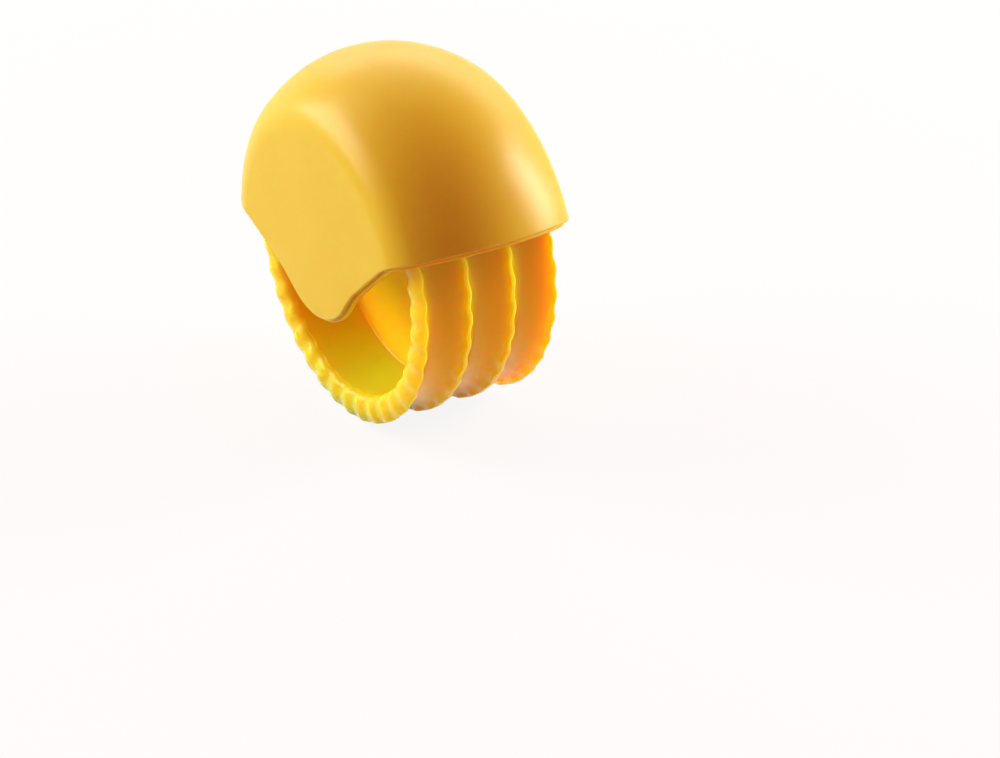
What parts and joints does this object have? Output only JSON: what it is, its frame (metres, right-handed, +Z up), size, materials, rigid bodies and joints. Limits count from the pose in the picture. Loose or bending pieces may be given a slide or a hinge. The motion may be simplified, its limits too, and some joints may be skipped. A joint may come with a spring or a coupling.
{
  "type": "pasta cutter",
  "caption": "Hand-held pasta cutter: a domed palm grip snapped over an inner frame, whose steel axle carries a free-turning roller with wavy cutting blades.",
  "frame": {"origin": "on the table, straight below the middle of the axle, where the blades touch it", "axes": "+X along the axle, +Y away from the raised front rim, the way the cutter trails as it is pushed towards -Y, +Z up out of the top of the dome"},
  "size_m": [0.044, 0.086, 0.0802],
  "materials": {
    "cover_plastic": "satin moulded ABS, warm yellow",
    "frame_plastic": "moulded ABS, warm yellow",
    "axle_steel": "drawn stainless rod",
    "roller_plastic": "glossy moulded acetal, lemon yellow"
  },
  "bodies": {
    "handle": {"dome_cover": "cover_plastic", "inner_frame": "frame_plastic", "axle": "axle_steel"},
    "roller": {"cutting_roller": "roller_plastic", "hub_disc": "roller_plastic"}
  },
  "joints": [
    {"name": "roller_spin", "type": "hinge", "parent": "handle", "child": "roller", "pos_m": [0, 0, 0.035], "axis": [1, 0, 0], "continuous": true}
  ]
}
